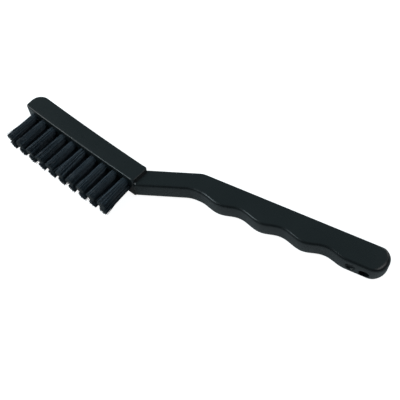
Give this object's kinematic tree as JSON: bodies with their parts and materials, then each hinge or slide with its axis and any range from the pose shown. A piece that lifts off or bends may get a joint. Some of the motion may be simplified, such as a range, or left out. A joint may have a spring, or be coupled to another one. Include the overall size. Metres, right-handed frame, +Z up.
{
  "type": "anti-static brush",
  "caption": "Long-handled anti-static cleaning brush: rows of short stiff tufts in a straight head, cranked neck, finger-grooved handle with a hanging hole.",
  "frame": {"origin": "middle of the bounding box, on the plane of the head's lower side face, on which the brush lies", "axes": "+X from the toe of the head to the end of the handle; +Y from the bristle tips to the back of the brush; +Z up, through the thickness"},
  "size_m": [0.1762, 0.058, 0.0129],
  "materials": {
    "body": "satin black conductive moulding, finely textured",
    "bristle": "black conductive filament with a silky sheen",
    "anchor": "flat drawn wire"
  },
  "bodies": {
    "root": {"body_moulding": "body", "tuft_a_01": "bristle", "tuft_a_02": "bristle", "tuft_a_03": "bristle", "tuft_a_04": "bristle", "tuft_a_05": "bristle", "tuft_a_06": "bristle", "tuft_a_07": "bristle", "tuft_a_08": "bristle", "tuft_a_09": "bristle", "tuft_a_10": "bristle", "tuft_b_01": "bristle", "tuft_b_02": "bristle", "tuft_b_03": "bristle", "tuft_b_04": "bristle", "tuft_b_05": "bristle", "tuft_b_06": "bristle", "tuft_b_07": "bristle", "tuft_b_08": "bristle", "tuft_b_09": "bristle", "tuft_b_10": "bristle", "anchor_a_01": "anchor", "anchor_a_02": "anchor", "anchor_a_03": "anchor", "anchor_a_04": "anchor", "anchor_a_05": "anchor", "anchor_a_06": "anchor", "anchor_a_07": "anchor", "anchor_a_08": "anchor", "anchor_a_09": "anchor", "anchor_a_10": "anchor", "anchor_b_01": "anchor", "anchor_b_02": "anchor", "anchor_b_03": "anchor", "anchor_b_04": "anchor", "anchor_b_05": "anchor", "anchor_b_06": "anchor", "anchor_b_07": "anchor", "anchor_b_08": "anchor", "anchor_b_09": "anchor", "anchor_b_10": "anchor"}
  },
  "joints": []
}
